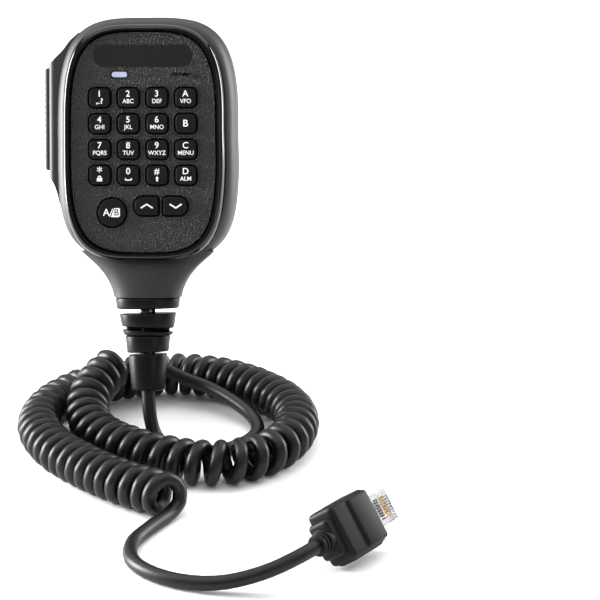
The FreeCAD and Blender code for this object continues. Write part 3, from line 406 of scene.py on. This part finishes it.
def printed(name, text, tall, x, z, front, body, slot, mat, bold=0.03, squeeze=1.0):
    """Flat lettering on a forward face; tall is the height of a capital."""
    data = bpy.data.curves.new(name, "FONT")
    data.body = text
    data.size = tall * MM / CAPITAL
    data.align_x = "CENTER"
    data.align_y = "CENTER"
    data.offset = bold * MM
    data.extrude = 0.012 * MM
    obj = bpy.data.objects.new(name, data)
    facing = LEAN @ Matrix.Rotation(math.pi / 2, 4, "X") @ Matrix.Diagonal((squeeze, 1, 1, 1))
    obj.matrix_world = Matrix.Translation(at(x, front, z)) @ facing
    return add(obj, body, slot, mat)


def inked(name, shapes, x, z, front, body):
    """Flat printed sign: outlines in millimetres about its own middle."""
    mesh = bpy.data.meshes.new(name)
    points = []
    faces = []
    for shape in shapes:
        faces.append(range(len(points), len(points) + len(shape)))
        points += [at(x + dx, front, z + dz) for dx, dz in shape]
    mesh.from_pydata(points, [], [list(face) for face in faces])
    return add(bpy.data.objects.new(name, mesh), body, "key_plastic", PRINT)


def bar(x0, z0, x1, z1, wide):
    """Outline of a straight stroke."""
    run = Vector((x1 - x0, z1 - z0))
    side = Vector((-run.y, run.x)).normalized() * wide / 2
    return [(x0 - side.x, z0 - side.y), (x1 - side.x, z1 - side.y),
            (x1 + side.x, z1 + side.y), (x0 + side.x, z0 + side.y)]


for key, (column, row, upper, lower) in LEGENDS.items():
    key_x = (column - 1.5) * COLUMN_PITCH
    key_z = TOP_ROW - ROW_PITCH * row
    if key == "key_b":
        printed("legend_" + key, upper, 2.6, key_x - 0.1, key_z, LEGEND_FACE, key, "key_plastic",
                PRINT)
        continue
    tall, lift = (3.4, 1.25) if upper == "*" else (2.35, 1.45)
    printed("legend_" + key, upper, tall, key_x - 0.1, key_z + lift, LEGEND_FACE, key, "key_plastic",
            PRINT)
    if lower:
        tall, bold, squeeze = (2.0, 0.04, 1.25) if lower == ",.?" else (1.6, 0.02, 0.98)
        printed("small_" + key, lower, tall, key_x, key_z - 1.35, LEGEND_FACE, key, "key_plastic",
                PRINT, bold, squeeze)

# Signs in the lower half of the last row's keys: a lock, a space mark and a shift arrow.
star_x = -1.5 * COLUMN_PITCH
zero_x = -0.5 * COLUMN_PITCH
hash_x = 0.5 * COLUMN_PITCH
last_z = TOP_ROW - ROW_PITCH * 3
arch = [(0.75 * math.cos(math.radians(a)), 0.1 + 0.85 * math.sin(math.radians(a)))
        for a in range(0, 181, 20)]
hollow = [(x * 0.55, 0.1 + (z - 0.1) * 0.6) for x, z in reversed(arch)]
inked("sign_lock", [arch + hollow, [(-1, -1.2), (1, -1.2), (1, 0.1), (-1, 0.1)]],
      star_x - 0.1, last_z - 1.1, INK, "key_star")
inked("sign_space", [bar(-1.1, -0.45, 1.1, -0.45, 0.4), bar(-1.1, -0.5, -1.1, 0.25, 0.4),
                     bar(1.1, -0.5, 1.1, 0.25, 0.4)], zero_x, last_z - 1.35, INK, "key_0")
inked("sign_shift", [bar(0, -1.1, 0, 0, 0.65), [(-0.7, 0), (0.7, 0), (0, 0.85)]],
      hash_x, last_z - 1.2, INK, "key_hash")

# Arrow keys: a chevron each, pointing up and down.
ARROWS_MIDDLE = 6.8
ARROWS_APART = 11.05
ARROWS_Z = -18.3
for label, x, way in (("key_up", ARROWS_MIDDLE - ARROWS_APART / 2, 1),
                      ("key_down", ARROWS_MIDDLE + ARROWS_APART / 2, -1)):
    inked("sign_" + label, [bar(-2.3, -0.75 * way, 0.1, 0.75 * way, 0.55),
                            bar(2.3, -0.75 * way, -0.1, 0.75 * way, 0.55)],
          x + 0.2, ARROWS_Z, INK, label)

# Round key: A / B, the second letter dark on a white patch.
round_x = -11.85
round_z = -20.8
printed("legend_round_a", "A", 2.6, round_x - 2.1, round_z, INK, "key_ab", "key_plastic", PRINT)
inked("sign_round_slash", [bar(-0.95, -1.5, 0.35, 1.5, 0.3)], round_x, round_z, INK, "key_ab")
inked("sign_round_patch", [[(-0.35, -1.6), (2.6, -1.6), (3.1, -1.1), (3.1, 1.5), (2.8, 1.8),
                            (0.9, 1.8)]], round_x, round_z - 0.1, INK, "key_ab")
printed("legend_round_b", "B", 2.4, round_x + 1.75, round_z, INK + 0.02, "key_ab", "key_plastic",
        KEY)

# Beside the sound slot, dark on dark.
printed("word_mic", "MIC", 1.8, 21.3, 30.6, 31.02, "handset", "panel_plastic", FADED, 0.04)

# ---------------------------------------------------------------- press-to-talk ridges, sound slot


def mesh_piece(name, build, body, slot, mat):
    """Piece from a bmesh that the given function fills."""
    mesh = bpy.data.meshes.new(name)
    work = bmesh.new()
    build(work)
    bmesh.ops.recalc_face_normals(work, faces=work.faces)
    work.to_mesh(mesh)
    work.free()
    for face in mesh.polygons:
        face.use_smooth = True
    return add(bpy.data.objects.new(name, mesh), body, slot, mat)


def block(work, size, middle, soft, segments, turn):
    """Block with rounded edges added to a bmesh, in millimetres, then turned."""
    made = bmesh.ops.create_cube(work, size=1.0)
    verts = made["verts"]
    for vert in verts:
        vert.co = Vector((vert.co.x * size[0], vert.co.y * size[1], vert.co.z * size[2]))
    edges = list({edge for vert in verts for edge in vert.link_edges})
    result = bmesh.ops.bevel(work, geom=edges, offset=soft, segments=segments, profile=0.5,
                             affect="EDGES")
    moved = {vert for face in result["faces"] for vert in face.verts}
    seen = set(moved)
    queue = list(moved)
    while queue:
        vert = queue.pop()
        for edge in vert.link_edges:
            other = edge.other_vert(vert)
            if other not in seen:
                seen.add(other)
                queue.append(other)
    for vert in seen:
        vert.co = turn @ ((vert.co + Vector(middle)) * MM)


RIDGES = 13
RIDGE_PITCH = 2.35


def ridges(work):
    """Grip ridges on the bar, evenly about its middle."""
    for number in range(RIDGES):
        z = 14.85 + (number - RIDGES // 2) * RIDGE_PITCH
        block(work, (0.9, 7.0, 1.1), (-39.55, -14.1, z), 0.35, 3, LEAN)


mesh_piece("ptt_ridges", ridges, "ptt_button", "ptt_rubber", PTT)


def sound_felt(work):
    """Dark felt behind the sound slot."""
    block(work, (3.4, 0.3, 2.4), (15.9, -29.2, 31.4), 0.1, 2, LEAN)


mesh_piece("sound_felt", sound_felt, "handset", "seal_rubber", SEAL)

# ---------------------------------------------------------------- strain relief


OVAL_POINTS = 64


def oval(wide, deep, level, slope, power=2.3):
    """Rounded outline round the cord's axis: half width, half depth, height, rise along x."""
    ring = []
    for step in range(OVAL_POINTS):
        angle = 2 * math.pi * step / OVAL_POINTS
        x = math.copysign(abs(math.cos(angle)) ** (2 / power), math.cos(angle)) * wide
        y = math.copysign(abs(math.sin(angle)) ** (2 / power), math.sin(angle)) * deep
        ring.append(at(x, CORD_FRONT - y, level + slope * x))
    return ring


def loft(work, rings):
    """Closed skin from ring to ring, capped at both ends."""
    rows = [[work.verts.new(point) for point in ring] for ring in rings]
    count = len(rows[0])
    for lower, upper in zip(rows, rows[1:]):
        for number in range(count):
            after = (number + 1) % count
            work.faces.new((lower[number], lower[after], upper[after], upper[number]))
    work.faces.new(rows[0])
    work.faces.new(list(reversed(rows[-1])))


# A rounded edge of radius 1: how far along the side and how far in from it each of its points is.
EDGE = ((0.0, 1.0), (0.08, 0.62), (0.3, 0.28), (0.62, 0.08), (1.0, 0.0))


def segment(work, top, bottom, soft):
    """One ring of the relief: its upper and lower ends are (level, half width, half depth, slope)."""
    rings = []
    for end, way, edge in ((top, -1, EDGE), (bottom, 1, reversed(EDGE))):
        level, wide, deep, slope = end
        for drop, inset in edge:
            rings.append(oval(wide - inset * soft, deep - inset * soft, level + way * drop * soft,
                              slope))
    loft(work, rings)


def relief_rings(work):
    """The relief's rings, the core inside them and the webs that join each ring to the next."""
    segment(work, (-53.38, 12.4, 9.3, 0), (-57.7, 12.0, 9.0, 0.02), 0.7)
    segment(work, (-59.5, 10.9, 8.6, 0.03), (-64.8, 10.1, 8.1, -0.03), 0.5)
    segment(work, (-66.2, 9.8, 8.0, -0.05), (-67.8, 9.3, 7.8, 0), 0.35)
    segment(work, (-68.1, 8.6, 7.6, 0), (-74.4, 8.0, 7.2, 0.04), 0.5)
    segment(work, (-75.2, 7.4, 6.9, 0.04), (-89, 6.35, 6.25, 0), 0.5)
    loft(work, [oval(2.9, 2.9, -53.4, 0, 2), oval(2.9, 2.9, -88.8, 0, 2)])
    for low, high, wide, deep in ((-60, -57, 2.0, 8.4), (-66.8, -64.2, 8.4, 2.2),
                                  (-68.6, -67.2, 6, 6), (-76, -73.6, 1.9, 6.4)):
        loft(work, [oval(wide, deep, low, 0, 4), oval(wide, deep, high, 0, 4)])


relief = mesh_piece("relief", relief_rings, "handset", "relief_rubber", RELIEF)
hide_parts("strain_relief")

# ---------------------------------------------------------------- plug: conductors, boot

PLUG = Matrix.Translation(PLUG_BASE) @ PLUG_TURN
wires_home = bpy.data.objects["plug_wires"].matrix_world.inverted()
WIRE_PITCH = 1.02 * MM
WIRE_COLOURS = [(0.5, 0.5, 0.48), (0.5, 0.2, 0.03), (0.45, 0.42, 0.1), (0.12, 0.2, 0.3),
                (0.5, 0.05, 0.04), (0.55, 0.3, 0.25), (0.5, 0.08, 0.05), (0.3, 0.3, 0.3)]
striped(WIRE, wires_home @ PLUG_BASE, (wires_home @ PLUG).to_3x3() @ Vector((0, 1, 0)),
        WIRE_COLOURS, WIRE_PITCH)
COLLAR_POINTS = 40
BOOT_END = 29


def collar_ring(work, start, end, radius, soft=0.4):
    """Round collar with softened edges, along the plug's axis in millimetres from its base."""
    rings = []
    for x, grown in ((start, radius - soft), (start + soft * 0.3, radius - soft * 0.3),
                     (start + soft, radius), (end - soft, radius),
                     (end - soft * 0.3, radius - soft * 0.3), (end, radius - soft)):
        ring = []
        for step in range(COLLAR_POINTS):
            angle = 2 * math.pi * step / COLLAR_POINTS
            ring.append(PLUG @ (Vector((x, grown * math.cos(angle), grown * math.sin(angle))) * MM))
        rings.append(ring)
    loft(work, rings)


def boot(work):
    """Collars where the cord enters, then the block that holds the plug, with its raised side."""
    collar_ring(work, 0, 1.2, 3.9, 0.3)
    collar_ring(work, 1.7, 2.7, 4.1, 0.3)
    collar_ring(work, 3.2, 6, 4.6, 0.3)
    collar_ring(work, 0.5, 6, 3.3)
    block(work, (13, 13.6, 9.4), (4.4 + 6.5, 0, 0), 1.6, 4, PLUG)
    block(work, (21, 20, 12.2), (BOOT_END - 10.5, 0, 0), 2.0, 5, PLUG)
    block(work, (12, 18.6, 6), (BOOT_END - 6, 0, -3.9), 1.4, 4, PLUG)
    block(work, (20.4, 6, 9.6), (BOOT_END - 10.3, 7.9, 0), 2.4, 5, PLUG)


boot_piece = mesh_piece("boot", boot, "handset", "boot_rubber", BOOT)
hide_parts("plug_boot")

# ---------------------------------------------------------------- room

FLOOR_REACH = 3.0
corners = [(-FLOOR_REACH, -FLOOR_REACH), (FLOOR_REACH, -FLOOR_REACH),
           (FLOOR_REACH, FLOOR_REACH), (-FLOOR_REACH, FLOOR_REACH)]
floor_mesh = bpy.data.meshes.new("floor")
floor_mesh.from_pydata([(x, y, FLOOR) for x, y in corners], [], [(0, 1, 2, 3)])
floor = bpy.data.objects.new("floor", floor_mesh)
bpy.context.scene.collection.objects.link(floor)
floor_mesh.materials.append(material("floor", (0.88, 0.88, 0.88), 0.7, vary=0.01, patches=3,
                                     bump=0.02))


def area_light(name, place, aim, wide, tall, power):
    """Rectangular white lamp at a place, facing another."""
    data = bpy.data.lights.new(name, "AREA")
    data.shape = "RECTANGLE"
    data.size = wide
    data.size_y = tall
    data.energy = power
    lamp = bpy.data.objects.new(name, data)
    lamp.location = place
    lamp.rotation_euler = (Vector(aim) - Vector(place)).to_track_quat("-Z", "Y").to_euler()
    bpy.context.scene.collection.objects.link(lamp)


area_light("left_strip", (-0.7, 0.02, 0.0), (0, 0, 0), 0.3, 0.7, 30)
area_light("right_strip", (0.7, 0.4, 0.05), (0.02, 0, 0), 0.2, 0.7, 10)
area_light("overhead", (0, 0.5, 1.7), (0, 0.3, 0), 4, 4, 98)
area_light("front", (-0.35, -1.2, 0.9), (0.03, -0.03, -0.05), 0.4, 0.4, 2)
area_light("front_right", (0.62, -1.1, 0.3), (0.02, -0.02, 0), 0.25, 0.5, 1.3)

world = bpy.data.worlds.new("room")
world.use_nodes = True
world.node_tree.nodes["Background"].inputs["Color"].default_value = (1, 1, 1, 1)
world.node_tree.nodes["Background"].inputs["Strength"].default_value = 0.28
bpy.context.scene.world = world
bpy.context.scene.view_settings.view_transform = "Standard"
